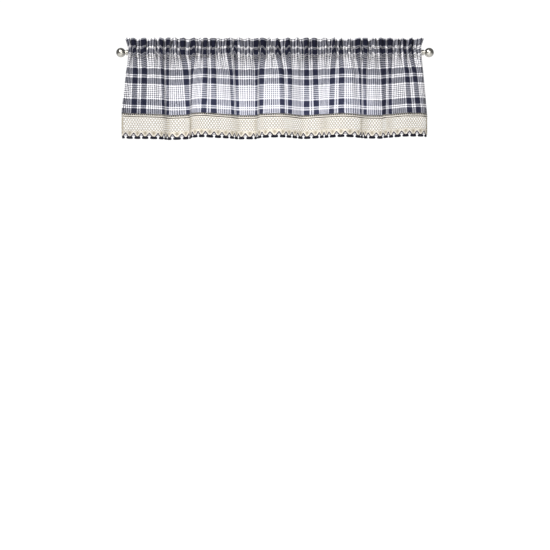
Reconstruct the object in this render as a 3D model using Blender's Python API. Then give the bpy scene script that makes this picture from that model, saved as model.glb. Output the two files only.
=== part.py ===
"""A plaid window valance gathered on a slim rod with ball finials.

Metres, +Z up.  The origin is the middle of the rod's axis.  +X runs along the rod and the front of
the valance faces -Y.
"""
import math
from collections import namedtuple

import bmesh
import bpy
from mathutils import Vector

MM = 0.001

# ---- driving dimensions ----------------------------------------------------------------------
FLAT_WIDTH = 1422 * MM  # the cut cloth and the lace, laid flat
GAP = 0.3 * MM  # between neighbouring pieces

HEADER_TOP = 49 * MM  # heights are measured from the rod's axis
UPPER_STITCH = 17 * MM
LOWER_STITCH = -15 * MM
PANEL_BOTTOM = -216 * MM
LACE_HEADING_BOTTOM = -228 * MM
NOTCH = -277 * MM  # top of the V between two lace teeth
TOOTH_TIP = -291.5 * MM
BAR_BOTTOM = -298.5 * MM  # underside of the navy bars
LEFT_DROP = 5 * MM  # how much lower the border hangs at its left end
RIGHT_LIFT = 1.5 * MM

CLOTH = 1.2 * MM  # thickness of one layer
HEADER_CLOTH = 2.8 * MM  # two layers and the air between them
LACE = 1.2 * MM
EDGING = 2.4 * MM
EDGING_STRAND = 2.6 * MM  # height of the edging where it climbs a tooth's side

ROD_RADIUS = 8 * MM
ROD_HALF_LENGTH = 516.5 * MM
BALL_RADIUS = 16.4 * MM
BALL_CENTRE = 542.4 * MM
COLLAR_RADIUS = 10 * MM
COLLAR_LENGTH = 6.5 * MM
NECK_RADIUS = 6.5 * MM
FINIAL_BEVEL = 1 * MM
SEAM_MERGE = 0.01 * MM  # joins the last turn of a spun shape to the first
BALL_TURNS = 11  # points along the ball's profile
ROD_SIDES = 32
FINIAL_SIDES = 28

TOOTH_PITCH = 30.2 * MM
FIRST_NOTCH = 14.8 * MM
NOTCHES = 47
BAR_HALF_WIDTH = 8.2 * MM  # half of the flat bar under each tooth
LAST_COLUMN = 2 * MM  # the border's columns stop this far short of its right end

GATHER_DEPTH = 6 * MM  # of a gather one GATHER_SPACING wide, where it is stitched
GATHER_SPACING = 40 * MM
GATHER_FADE = 75 * MM  # the height over which gathers die out below the rod
HEADER_FLARE = 1.4  # gathers are this much deeper at the header's free edge
HEADER_LIFT = 1 * MM  # how far a gather lifts that edge
END_FLARE = 8 * MM  # how far the header's two ends lean outwards
END_FLARE_POWER = 15  # odd, and high, so that only the two end gathers lean
POCKET_EASE = 1.3 * MM  # between the rod and the pocket where it lies closest
POCKET_SLACK = 3 * MM  # how much further the pocket stands off on a gather
POCKET_STEPS = 4  # intervals on each pocket wall between the two stitches
POCKET_ROUNDNESS = 0.8  # below 1 makes the pocket's section fuller than a circle's
SEAM = 1.6 * MM  # solid height of each stitch line, above and below the rod's tunnel

BODY_HEIGHTS = [-24 * MM, -42 * MM, -74 * MM, -120 * MM, -170 * MM, PANEL_BOTTOM]
MIDDLE_HEIGHT = -68 * MM  # where the fold table's at_middle holds
HEM_HEIGHT = -209 * MM  # where its at_hem holds
FULL_DEPTH_HEIGHT = LACE_HEADING_BOTTOM  # where its depth is reached
QUICK_SHARE = 0.6  # share of a fold's depth that opens in the first stretch below the rod
QUICK_DROP = 25 * MM  # the length of that stretch
WIDEST_COLUMN = 12 * MM  # wider stretches between two turns get a column half-way
TURNING_DROP = 40 * MM  # below the rod, where the thickness comes to lie square to the folds

# One row for each place where the hanging cloth turns.  flat is the distance from the left edge
# of the laid-out cloth; at_rod, at_middle and at_hem are its X there; depth is its Y at the hem.
Fold = namedtuple("Fold", "flat at_rod at_middle at_hem depth")
FOLDS = [
    Fold(0, -512, -522, -537, -27),
    Fold(36, -501, -500, -505, -10),
    Fold(93.5, -450, -450, -454, -2),
    Fold(154, -405, -402, -399, 13),
    Fold(211.5, -373, -375, -376, 37),
    Fold(272, -332, -324, -314, 21),
    Fold(293, -313, -304, -300, 12),
    Fold(335, -274, -284, -292, -20),
    Fold(390, -251, -252, -258, -40),
    Fold(447.5, -214, -207, -205, -15),
    Fold(508, -172, -160, -155, 12),
    Fold(565.5, -129, -130, -126, 37),
    Fold(626, -75, -70, -71, 36),
    Fold(647, -59, -61, -63, 30),
    Fold(662.5, -52, -56, -55, 5),
    Fold(683.5, -35, -38, -42, -5),
    Fold(744, 2, 14, 18, -19),
    Fold(801.5, 55, 60, 60, 6),
    Fold(862, 102, 103, 102, 38),
    Fold(919.5, 148, 151, 156, 14),
    Fold(980, 199, 194, 190, 0),
    Fold(1037.5, 238, 243, 242, -21),
    Fold(1098, 285, 295, 300, 11),
    Fold(1119, 300, 303, 306, 18),
    Fold(1155.5, 324, 322, 325, 30),
    Fold(1216, 366, 375, 380, 36),
    Fold(1237, 384, 392, 392, 12),
    Fold(1273.5, 413, 410, 412, 3),
    Fold(1334, 446, 455, 462, -28),
    Fold(1391.5, 485, 497, 511, -26),
    Fold(1422, 514, 521, 534, -5),
]

# Flat distance of each gather's crest along the header.
GATHER_CRESTS = [
    8, 44, 80, 122, 158, 207, 245, 283, 322, 362, 400, 440, 472, 502, 532, 572, 606, 640, 670, 710,
    752, 790, 830, 870, 908, 948, 990, 1030, 1068, 1108, 1148, 1188, 1226, 1262, 1300, 1338, 1378,
    1414,
]

NAVY = (0.035, 0.04, 0.07)
PLAID = (0.42, 0.43, 0.47)
CREAM = (0.83, 0.78, 0.66)
NICKEL = (0.55, 0.54, 0.51)


# ---- the hanging surface -----------------------------------------------------------------------
def hermite(stations, values, at):
    """A smooth curve through (stations, values) that never overshoots between two of them."""
    last = len(stations) - 1
    slopes = [(values[i + 1] - values[i]) / (stations[i + 1] - stations[i]) for i in range(last)]

    def tangent(i):
        if i == 0 or i == last:
            return slopes[min(i, last - 1)]
        before, after = slopes[i - 1], slopes[i]
        if before * after <= 0.0:
            return 0.0
        return 2.0 * before * after / (before + after)

    at = min(max(at, stations[0]), stations[-1])
    i = next(k for k in range(last) if at <= stations[k + 1])
    width = stations[i + 1] - stations[i]
    t = (at - stations[i]) / width
    rise = (2 * t**3 - 3 * t**2 + 1) * values[i] + (3 * t**2 - 2 * t**3) * values[i + 1]
    lean = (t**3 - 2 * t**2 + t) * tangent(i) + (t**3 - t**2) * tangent(i + 1)
    return rise + lean * width


FLAT = [fold.flat * MM for fold in FOLDS]
AT_ROD = [fold.at_rod * MM for fold in FOLDS]
AT_MIDDLE = [fold.at_middle * MM for fold in FOLDS]
AT_HEM = [fold.at_hem * MM for fold in FOLDS]
HEM_DEPTH = [fold.depth * MM for fold in FOLDS]


def gather_wave():
    """Stations and heights of the gathers: up at each crest, down half-way to the next one."""
    crests = [crest * MM for crest in GATHER_CRESTS]
    stations, heights = [0.0], [0.0]
    for i, crest in enumerate(crests):
        before = crests[i - 1] if i else crest - GATHER_SPACING
        after = crests[i + 1] if i + 1 < len(crests) else crest + GATHER_SPACING
        stations.append(crest)
        heights.append((after - before) / (2 * GATHER_SPACING))
        if i + 1 < len(crests):
            stations.append((crest + after) / 2)
            heights.append(-(after - crest) / GATHER_SPACING)
    return stations + [FLAT_WIDTH], heights + [0.0]


WAVE_STATIONS, WAVE_HEIGHTS = gather_wave()


def gather(flat):
    return hermite(WAVE_STATIONS, WAVE_HEIGHTS, flat)


def place(flat, height):
    """X and Y of the middle of the cloth at a flat distance and a height."""
    top = hermite(FLAT, AT_ROD, flat)
    middle = hermite(FLAT, AT_MIDDLE, flat)
    hem = hermite(FLAT, AT_HEM, flat)
    if height >= MIDDLE_HEIGHT:
        share = min(max(height / MIDDLE_HEIGHT, 0.0), 1.0)
        x = top + (middle - top) * share
    else:
        share = min((height - MIDDLE_HEIGHT) / (HEM_HEIGHT - MIDDLE_HEIGHT), 1.0)
        x = middle + (hem - middle) * share
    below = max(LOWER_STITCH - height, 0.0)
    drop = min(below / (LOWER_STITCH - FULL_DEPTH_HEIGHT), 1.0)
    opened = QUICK_SHARE * (1.0 - math.exp(-below / QUICK_DROP)) + (1.0 - QUICK_SHARE) * drop**2
    y = hermite(FLAT, HEM_DEPTH, flat) * opened
    y -= GATHER_DEPTH * gather(flat) * math.exp(-below / GATHER_FADE)
    return x, y


def offset_place(flat, height, offset):
    """The point that lies offset behind the middle of the cloth, square to it below the rod."""
    x, y = place(flat, height)
    step = 1.5 * MM
    x0, y0 = place(max(flat - step, 0.0), height)
    x1, y1 = place(min(flat + step, FLAT_WIDTH), height)
    across = Vector((-(y1 - y0), x1 - x0)).normalized()
    turned = min(max((LOWER_STITCH - height) / TURNING_DROP, 0.0), 1.0)
    back = Vector((0.0, 1.0)).lerp(across, turned).normalized()
    return Vector((x + back.x * offset, y + back.y * offset, height))


def border_shift(flat):
    """The lace border hangs a little lower towards its left end."""
    share = flat / FLAT_WIDTH
    return -LEFT_DROP * (1.0 - share) ** 2 + RIGHT_LIFT * share


# ---- meshes ------------------------------------------------------------------------------------
def material(name, colour, roughness, metallic=0.0):
    made = bpy.data.materials.new(name)
    made.use_nodes = True
    shader = made.node_tree.nodes["Principled BSDF"]
    shader.inputs["Base Color"].default_value = (*colour, 1.0)
    shader.inputs["Roughness"].default_value = roughness
    shader.inputs["Metallic"].default_value = metallic
    return made


def finish(name, bm, surface):
    """Turn a bmesh into a named object whose faces point out."""
    bmesh.ops.triangulate(bm, faces=bm.faces[:])
    bmesh.ops.recalc_face_normals(bm, faces=bm.faces[:])
    mesh = bpy.data.meshes.new(name)
    bm.to_mesh(mesh)
    bm.free()
    mesh.shade_smooth()
    mesh.set_sharp_from_angle(angle=math.radians(50))
    mesh.materials.append(surface)
    made = bpy.data.objects.new(name, mesh)
    bpy.context.collection.objects.link(made)
    return made


def sweep(columns, loops, cap):
    """Join the same closed loops of points in each column, and close both ends with cap's faces."""
    bm = bmesh.new()
    rows = [[bm.verts.new(point) for point in column] for column in columns]
    for left, right in zip(rows, rows[1:]):
        for loop in loops:
            for i, j in zip(loop, loop[1:] + loop[:1]):
                bm.faces.new((left[i], right[i], right[j], left[j]))
    for end in (rows[0], rows[-1]):
        for face in cap:
            bm.faces.new([end[i] for i in face])
    return bm


# ---- plaid panel -------------------------------------------------------------------------------
def pocket_wall(flat, side, thickness, seam):
    """One wall of the rod pocket, down from the upper stitch; side is -1 in front, 1 behind."""
    slack = POCKET_SLACK * max(1.0 - side * gather(flat), 0.0)
    bulge = ROD_RADIUS + POCKET_EASE + slack + thickness
    top, bottom = UPPER_STITCH - seam, LOWER_STITCH + seam
    x, y = place(flat, 0.0)
    points = []
    for i in range(1, POCKET_STEPS):
        turn = math.pi * i / POCKET_STEPS
        height = (top + bottom) / 2 + (top - bottom) / 2 * math.cos(turn)
        share = math.sin(turn) ** POCKET_ROUNDNESS
        points.append(Vector((x, y * (1.0 - share) + side * bulge * share, height)))
    return points


def panel_section(flat):
    """Every point of the panel's section at one flat distance, and the order they come in."""
    lean = END_FLARE * (2.0 * flat / FLAT_WIDTH - 1.0) ** END_FLARE_POWER
    front, back = [], []
    x, y = place(flat, 0.0)
    top = HEADER_TOP + HEADER_LIFT * gather(flat)
    for out, flare, height in ((lean, HEADER_FLARE, top), (0.0, 1.0, UPPER_STITCH)):
        front.append(Vector((x + out, y * flare - HEADER_CLOTH / 2, height)))
        back.append(Vector((x + out, y * flare + HEADER_CLOTH / 2, height)))
    front += pocket_wall(flat, -1.0, CLOTH, 0.0)
    back += pocket_wall(flat, 1.0, CLOTH, 0.0)
    front.append(offset_place(flat, LOWER_STITCH, -HEADER_CLOTH / 2))
    back.append(offset_place(flat, LOWER_STITCH, HEADER_CLOTH / 2))
    for height in BODY_HEIGHTS:
        front.append(offset_place(flat, height, -CLOTH / 2))
        back.append(offset_place(flat, height, CLOTH / 2))
    tunnel_top = [Vector((x, y, UPPER_STITCH - SEAM))]
    tunnel_bottom = [Vector((x, y, LOWER_STITCH + SEAM))]
    inner_front = pocket_wall(flat, -1.0, 0.0, SEAM)
    inner_back = pocket_wall(flat, 1.0, 0.0, SEAM)
    return front, back, tunnel_top, inner_front, tunnel_bottom, inner_back


def panel_columns():
    """Flat distances of the columns: at each gather's crest and trough and half-way between."""
    turns = WAVE_STATIONS
    stations = []
    for left, right in zip(turns, turns[1:]):
        stations.append(left)
        if right - left > WIDEST_COLUMN:
            stations.append((left + right) / 2)
    return stations + [turns[-1]]


def numbered(groups):
    """The place of each point once the groups are joined into one list."""
    places, count = [], 0
    for group in groups:
        places.append(list(range(count, count + len(group))))
        count += len(group)
    return places


def make_panel():
    sections = [panel_section(flat) for flat in panel_columns()]
    columns = [[point for group in section for point in group] for section in sections]
    front, back, top, inner_front, bottom, inner_back = numbered(sections[0])
    outer = front + back[::-1]
    tunnel = top + inner_front + bottom + inner_back[::-1]
    stitched = POCKET_STEPS + 1  # place of the lower stitch in front and in back
    cap = [(front[0], back[0], back[1], front[1]), (front[1], back[1], top[0])]
    for wall, inner in ((front, inner_front), (back, inner_back)):
        outside = wall[1 : stitched + 1]
        inside = top + inner + bottom
        for i in range(POCKET_STEPS):
            cap.append((outside[i], inside[i], inside[i + 1], outside[i + 1]))
    cap.append((front[stitched], back[stitched], bottom[0]))
    for i in range(stitched, len(front) - 1):
        cap.append((front[i], back[i], back[i + 1], front[i + 1]))
    bm = sweep(columns, [outer, tunnel], cap)
    return finish("plaid_panel", bm, material("plaid_cloth", PLAID, 0.9))


# ---- lace border and its edging ----------------------------------------------------------------
def border_columns():
    """Flat distances at each notch, at both ends of each bar, and at each bar's middle."""
    stations = [0.0, FIRST_NOTCH - TOOTH_PITCH / 2 + BAR_HALF_WIDTH]
    for i in range(NOTCHES):
        notch = FIRST_NOTCH + i * TOOTH_PITCH
        tip = notch + TOOTH_PITCH / 2
        stations += [notch, tip - BAR_HALF_WIDTH, tip, tip + BAR_HALF_WIDTH]
    return [station for station in stations if station < FLAT_WIDTH - LAST_COLUMN] + [FLAT_WIDTH]


def tooth_share(flat):
    """0 at a notch, 1 all along the flat tip of a tooth."""
    away = abs((flat - FIRST_NOTCH + TOOTH_PITCH / 2) % TOOTH_PITCH - TOOTH_PITCH / 2)
    return min(away / (TOOTH_PITCH / 2 - BAR_HALF_WIDTH), 1.0)


def lace_bottom(flat):
    return NOTCH + (TOOTH_TIP - NOTCH) * tooth_share(flat) + border_shift(flat)


def edging_bottom(flat):
    thin = NOTCH - GAP - EDGING_STRAND
    return thin + (BAR_BOTTOM - thin) * tooth_share(flat) + border_shift(flat)


def ribbon(name, heights, thickness, surface):
    """A strip of the hanging surface; heights(flat) lists its points from top to bottom."""
    columns = []
    for flat in border_columns():
        levels = heights(flat)
        front = [offset_place(flat, level, -thickness / 2) for level in levels]
        back = [offset_place(flat, level, thickness / 2) for level in levels]
        columns.append(front + back)
    count = len(columns[0]) // 2
    loop = list(range(count)) + list(range(2 * count - 1, count - 1, -1))
    cap = [(i, i + count, i + count + 1, i + 1) for i in range(count - 1)]
    return finish(name, sweep(columns, [loop], cap), surface)


def make_lace():
    def heights(flat):
        return [PANEL_BOTTOM - GAP, LACE_HEADING_BOTTOM, lace_bottom(flat)]

    return ribbon("lace_border", heights, LACE, material("cream_lace", CREAM, 0.85))


def make_edging():
    def heights(flat):
        return [lace_bottom(flat) - 1.5 * GAP, edging_bottom(flat)]

    return ribbon("crochet_edging", heights, EDGING, material("navy_cord", NAVY, 0.9))


# ---- rod and finials ---------------------------------------------------------------------------
def turned(name, profile, side, sides, surface):
    """Spin (x, radius) points about the rod's axis; side is -1 on the left end, 1 on the right."""
    bm = bmesh.new()
    points = [bm.verts.new((side * x, 0.0, radius)) for x, radius in profile]
    edges = [bm.edges.new(pair) for pair in zip(points, points[1:])]
    bmesh.ops.spin(
        bm, geom=points + edges, cent=(0, 0, 0), axis=(1, 0, 0), angle=math.tau, steps=sides
    )
    bmesh.ops.remove_doubles(bm, verts=bm.verts[:], dist=SEAM_MERGE)
    return finish(name, bm, surface)


def finial_profile():
    start = ROD_HALF_LENGTH + GAP
    bevel = FINIAL_BEVEL
    profile = [(start, 0.0), (start, COLLAR_RADIUS - bevel), (start + bevel, COLLAR_RADIUS)]
    shoulder = start + COLLAR_LENGTH
    profile += [(shoulder - bevel, COLLAR_RADIUS), (shoulder, COLLAR_RADIUS - bevel)]
    profile.append((shoulder, NECK_RADIUS + bevel))
    profile.append((shoulder + bevel, NECK_RADIUS))
    first = math.asin(NECK_RADIUS / BALL_RADIUS)
    for i in range(BALL_TURNS):
        angle = first + (math.pi - first) * i / BALL_TURNS
        x = BALL_CENTRE - BALL_RADIUS * math.cos(angle)
        profile.append((x, BALL_RADIUS * math.sin(angle)))
    profile.append((BALL_CENTRE + BALL_RADIUS, 0.0))
    return profile


def make_rod_and_finials():
    nickel = material("satin_nickel", NICKEL, 0.3, 1.0)
    ends = [(-ROD_HALF_LENGTH, 0.0), (-ROD_HALF_LENGTH, ROD_RADIUS)]
    ends += [(ROD_HALF_LENGTH, ROD_RADIUS), (ROD_HALF_LENGTH, 0.0)]
    turned("rod", ends, 1.0, ROD_SIDES, nickel)
    for name, side in (("finial_left", -1.0), ("finial_right", 1.0)):
        turned(name, finial_profile(), side, FINIAL_SIDES, nickel)


def main():
    for thing in list(bpy.data.objects):
        bpy.data.objects.remove(thing, do_unlink=True)
    make_panel()
    make_lace()
    make_edging()
    make_rod_and_finials()


main()
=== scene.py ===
"""The looks of a plaid window valance with a crochet lace border, hung on a slim rod.

Metres, +Z up.  The origin is the middle of the rod's axis.  +X runs along the rod and the front of
the valance faces -Y.  Soft pieces are drawn flat first, as a distance along the cut cloth and a
height, and one function then hangs them in their folds.
"""
import math
from collections import namedtuple

import bmesh
import bpy
import numpy as np
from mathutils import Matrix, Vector

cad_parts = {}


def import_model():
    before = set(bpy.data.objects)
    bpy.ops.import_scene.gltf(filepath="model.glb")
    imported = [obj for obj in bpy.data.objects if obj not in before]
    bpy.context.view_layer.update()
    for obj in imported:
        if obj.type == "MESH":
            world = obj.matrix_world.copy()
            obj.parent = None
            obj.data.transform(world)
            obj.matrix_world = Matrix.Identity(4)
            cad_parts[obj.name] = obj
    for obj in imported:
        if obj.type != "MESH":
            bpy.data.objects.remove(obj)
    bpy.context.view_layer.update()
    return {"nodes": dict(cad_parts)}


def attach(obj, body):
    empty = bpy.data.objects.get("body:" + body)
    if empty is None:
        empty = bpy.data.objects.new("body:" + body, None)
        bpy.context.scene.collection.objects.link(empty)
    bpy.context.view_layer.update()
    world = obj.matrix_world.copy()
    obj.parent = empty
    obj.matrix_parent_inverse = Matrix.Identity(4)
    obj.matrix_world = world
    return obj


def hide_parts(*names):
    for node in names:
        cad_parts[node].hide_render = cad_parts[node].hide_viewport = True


MM = 0.001
SEED = 11

# ---- the cut cloth and the heights of its parts ----
FLAT_WIDTH = 1422 * MM
HEADER_TOP = 49 * MM  # heights are measured from the rod's axis
UPPER_STITCH = 17 * MM
LOWER_STITCH = -15 * MM
CLOTH_END = -225 * MM  # the cloth's own edge, behind the lace heading
LACE_HEADING_BOTTOM = -228 * MM
NOTCH = -277 * MM
TOOTH_TIP = -291.5 * MM
LEFT_DROP = 5 * MM
RIGHT_LIFT = 1.5 * MM
BORDER_DROP = 1.2 * MM
TAIL_END = -23 * MM  # the turned edge behind the lower stitch line

SHEET = 0.6 * MM  # thickness of the woven cloth
SIDE_HEM = 12 * MM  # turned to the back along both sides
SIDE_HEM_GAP = 0.75 * MM
STITCHED_HALF = 0.5 * MM  # from the middle of the two layers to either, where they are sewn
OPEN_HALF = 1.1 * MM  # the same at the header's top fold
END_HALF = 1.0 * MM  # the same at both ends, where the side hems lie between the layers
TAIL_OFFSET = 1.1 * MM

ROD_RADIUS = 8 * MM
POCKET_EASE = 1.3 * MM
POCKET_CLEAR = 0.9 * MM  # the least room between the rod and the cloth
POCKET_SLACK = 3 * MM
POCKET_ROUNDNESS = 3  # how gently the walls leave the stitch lines
SEWN_FADE = 8 * MM  # how soon the layers come together below the lower stitch line
BODY_TAKE_UP = 0.9955  # height for each unit of the body's cloth, which hangs slightly bent

# ---- folds ----
GATHER_DEPTH = 7 * MM
GATHER_SPACING = 40 * MM
GATHER_FADE = 75 * MM
HEADER_FLARE = 1.4
HEADER_LIFT = 1 * MM
END_FLARE = 8 * MM
END_FLARE_POWER = 15
MIDDLE_HEIGHT = -68 * MM
HEM_HEIGHT = -209 * MM
FULL_DEPTH_HEIGHT = LACE_HEADING_BOTTOM
QUICK_SHARE = 0.6
QUICK_DROP = 25 * MM

# One row, in millimetres, for each place where the hanging cloth turns: its distance from the left
# edge of the laid-out cloth, its X at the rod, at the middle and at the hem, and its Y at the hem.
FOLDS = [
    (0, -512, -522, -537, -27),
    (36, -501, -500, -505, -10),
    (93.5, -450, -450, -454, -2),
    (154, -405, -402, -399, 13),
    (211.5, -373, -375, -376, 37),
    (272, -332, -324, -314, 21),
    (293, -313, -304, -300, 12),
    (335, -274, -284, -292, -20),
    (390, -251, -252, -258, -40),
    (447.5, -214, -207, -205, -15),
    (508, -172, -160, -155, 12),
    (565.5, -129, -130, -126, 37),
    (626, -75, -70, -71, 36),
    (647, -59, -61, -63, 30),
    (662.5, -52, -56, -55, 5),
    (683.5, -35, -38, -42, -5),
    (744, 2, 14, 18, -19),
    (801.5, 55, 60, 60, 6),
    (862, 102, 103, 102, 38),
    (919.5, 148, 151, 156, 14),
    (980, 199, 194, 190, 0),
    (1037.5, 238, 243, 242, -21),
    (1098, 285, 295, 300, 11),
    (1119, 300, 303, 306, 18),
    (1155.5, 324, 322, 325, 30),
    (1216, 366, 375, 380, 36),
    (1237, 384, 392, 392, 12),
    (1273.5, 413, 410, 412, 3),
    (1334, 446, 455, 462, -28),
    (1391.5, 485, 497, 511, -26),
    (1422, 514, 521, 534, -5),
]

# Distance of each gather's crest along the laid-out header, in millimetres.
GATHER_CRESTS = [
    8, 44, 80, 122, 158, 207, 245, 283, 322, 362, 400, 440, 472, 502, 532, 572, 606, 640, 670, 710,
    752, 790, 830, 870, 908, 948, 990, 1030, 1068, 1108, 1148, 1188, 1226, 1262, 1300, 1338, 1378,
    1414,
]

# How much lower the plaid's cross stripes hang at each distance from the left edge.
SKEWS = [
    (0, -1), (150, 0), (300, 2), (520, 1.2), (700, 1), (860, 1.8),
    (1000, 0.3), (1100, -1.6), (1250, -1), (1422, -4),
]

# Smaller folds that only the cloth shows: an uneven wave each.
PUCKER_SPACING = 22 * MM  # drawn up by the two stitch lines
PUCKER_DEPTH = 6.5 * MM
PUCKER_SHARPNESS = 4  # broad crests with narrow creases between them
PUCKER_PINCH = 2.0 * MM  # how hard the crests press together over a crease
PUCKER_FADE_UP = 25 * MM  # how soon they fade in the header, inside the pocket and in the body
PUCKER_FADE_IN = 21 * MM
PUCKER_FADE_DOWN = 15 * MM
CRIMP_SPACING = 20 * MM  # how the same stitches pull the cloth up, down and sideways
CRIMP_DROP = 5.5 * MM
CRIMP_SHIFT = 3.2 * MM
CRIMP_FADE = 18 * MM
CREASE_SLIP = 18 * MM
RUFFLE_SPACING = 17 * MM  # along the header's free edge
RUFFLE_DEPTH = 3.4 * MM
LEAN_SPACING = 46 * MM  # how far the header's free edge leans to either side
LEAN_SHIFT = 4 * MM
RIPPLE_SPACING = 52 * MM  # soft folds between the main ones in the body
RIPPLE_DEPTH = 2.2 * MM
RIPPLE_SLANT = 0.09  # how far a ripple drifts sideways for each unit of height
RIPPLE_BIAS = 0.8  # under 1, so that the ripples are deepest a little above the middle
WAVE_LENGTHS = (0.65, 1.4)  # the least and greatest half wave, as a share of the usual one
WAVE_HEIGHTS = (0.35, 1.0)

# ---- lace and edging ----
TOOTH_PITCH = 30.2 * MM
FIRST_NOTCH = 14.8 * MM
NOTCHES = 47
CELLS_PER_TOOTH = 3
CELL = TOOTH_PITCH / CELLS_PER_TOOTH  # pitch of the net's holes
QUARTER = CELL / 4  # the lace's finest columns
FIRST_COLUMN = -0.5 * MM  # the lace is made a little past both ends and then drawn back to them
LAST_COLUMN = FLAT_WIDTH + 2.6 * MM
NET_ROWS = 6
NET_ROW = 6.7 * MM
NET_TOP = -230.5 * MM
NET_BOTTOM = NET_TOP - NET_ROWS * NET_ROW
NET_YARN = 1.45 * MM  # radius of the net's yarn
NET_KNOT = 0.2  # how much thicker it is where two yarns meet
NET_KNOT_SHARPNESS = 6
NET_SQUASH = 0.65  # the yarn's thickness from front to back, of its width
NET_WAVE = 2.1 * MM
NET_STEPS = 8  # points for each cell
NET_SIDES = 6
LACE_HEM = 6 * MM  # both ends of the lace, turned under
LACE_HEM_COLUMNS = 4
LACE_HEM_ROWS = 8
LADDER_BOTTOM = -223 * MM
LADDER_TOP = -216.3 * MM
LADDER_HOLE_WIDTH = 4.6 * MM
LADDER_HOLE_HEIGHT = 4.5 * MM
LADDER_CREST = 0.9 * MM  # how far the top edge stands up over each hole
THREAD_HALF = 0.75 * MM  # half the thickness of a crochet thread
LACE_PROUD = 1.2 * MM  # from the cloth's middle to the lace's
BAND_HEIGHTS = (NET_TOP, -229 * MM, -227.4 * MM, -225.8 * MM, LADDER_BOTTOM)
BAND_THICKNESS = (1, 1.1, 0.6, 1, 1)  # of a thread, at each height of the band under the ladder
NET_TINT = 0.38
HEM_TINT = 0.55
TOOTH_TINT = 0.22
DIAMOND_TINT = 0.85
TOOTH_TIP_HALF = 2.8 * MM
TOOTH_RIM = 8 * MM  # the brighter edge of a tooth
TOOTH_ROWS = 9
TOOTH_THICKNESS = 1.25  # of a thread
DIAMOND_THINNING = 0.5
DIAMOND_BLUR = 0.25  # how far the diamond's edge fades to either side, of its half width
DIAMOND_HALF_WIDTH = 5.2 * MM
DIAMOND_TOP = -272.5 * MM
DIAMOND_BOTTOM = -285 * MM


# ---- the hanging surface ----
def smooth_curve(stations, values, at):
    """A smooth curve through (stations, values) that never overshoots between two of them."""
    stations, values = np.asarray(stations), np.asarray(values)
    widths = np.diff(stations)
    slopes = np.diff(values) / widths
    before, after = slopes[:-1], slopes[1:]
    steady = before * after > 0
    inner = np.where(steady, 2 * before * after / np.where(steady, before + after, 1.0), 0.0)
    tangents = np.concatenate([slopes[:1], inner, slopes[-1:]])
    at = np.clip(at, stations[0], stations[-1])
    i = np.clip(np.searchsorted(stations, at) - 1, 0, len(widths) - 1)
    t = (at - stations[i]) / widths[i]
    rise = (2 * t**3 - 3 * t**2 + 1) * values[i] + (3 * t**2 - 2 * t**3) * values[i + 1]
    lean = (t**3 - 2 * t**2 + t) * tangents[i] + (t**3 - t**2) * tangents[i + 1]
    return rise + lean * widths[i]


FLAT, AT_ROD, AT_MIDDLE, AT_HEM, HEM_DEPTH = np.array(FOLDS).T * MM


def gather_wave():
    """Stations and heights of the gathers: up at each crest, down half-way to the next one."""
    crests = np.array(GATHER_CRESTS) * MM
    crests = [crests[0] - GATHER_SPACING, *crests, crests[-1] + GATHER_SPACING]
    stations, heights = [0.0], [0.0]
    for left, crest, right in zip(crests, crests[1:], crests[2:]):
        stations += [crest, (crest + right) / 2]
        heights += [(right - left) / (2 * GATHER_SPACING), -(right - crest) / GATHER_SPACING]
    return stations[:-1] + [FLAT_WIDTH], heights[:-1] + [0.0]


def uneven_wave(spacing):
    """Stations and heights of a wave with crests about spacing apart, no two alike."""
    stations, heights = [-spacing], [0.0]
    while stations[-1] < FLAT_WIDTH + spacing:
        for sign in (1, -1):
            stations.append(stations[-1] + spacing / 2 * RNG.uniform(*WAVE_LENGTHS))
            heights.append(sign * RNG.uniform(*WAVE_HEIGHTS))
    return stations, heights


RNG = np.random.default_rng(SEED)
GATHERS = gather_wave()
PUCKERS = uneven_wave(PUCKER_SPACING)
RUFFLES = uneven_wave(RUFFLE_SPACING)
RIPPLES = uneven_wave(RIPPLE_SPACING)
DROPS = uneven_wave(CRIMP_SPACING)
SHIFTS = uneven_wave(CRIMP_SPACING)
LEANS = uneven_wave(LEAN_SPACING)
SLIPS = uneven_wave(PUCKER_SPACING)


def crease(flat):
    """1 in the narrow creases between the puckers, 0 on their broad crests."""
    return ((1 - smooth_curve(*PUCKERS, flat)) / 2) ** PUCKER_SHARPNESS


def pucker_fade(height):
    """1 at both stitch lines, less inside the pocket, and fading away below."""
    above = np.exp(-np.abs(height - UPPER_STITCH) / PUCKER_FADE_IN)
    fade = np.where(height > LOWER_STITCH, PUCKER_FADE_IN, PUCKER_FADE_DOWN)
    return np.maximum(above, np.exp(-np.abs(height - LOWER_STITCH) / fade))


def pinch(flat):
    """How far the cloth beside a crease is drawn sideways towards it."""
    step = 0.5 * MM
    return PUCKER_PINCH**2 * (crease(flat + step) - crease(flat - step)) / (2 * step)


def puckers(flat, height):
    """How far the small puckers at the two stitch lines stand to the front."""
    return PUCKER_DEPTH * (1 - 2 * crease(flat)) * pucker_fade(height)


def crimp_fade(height):
    """1 between the two stitch lines and fading away from them."""
    away = np.maximum(height - UPPER_STITCH, 0) + np.maximum(LOWER_STITCH - height, 0)
    return np.exp(-away / CRIMP_FADE)


def slip(flat, height):
    """How far the creases draw the pattern up or down."""
    return CREASE_SLIP * smooth_curve(*SLIPS, flat) * crease(flat) * crimp_fade(height)


def crimp_drop(flat, height):
    """How far the stitches draw the cloth up or down."""
    return CRIMP_DROP * smooth_curve(*DROPS, flat) * crimp_fade(height)


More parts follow.
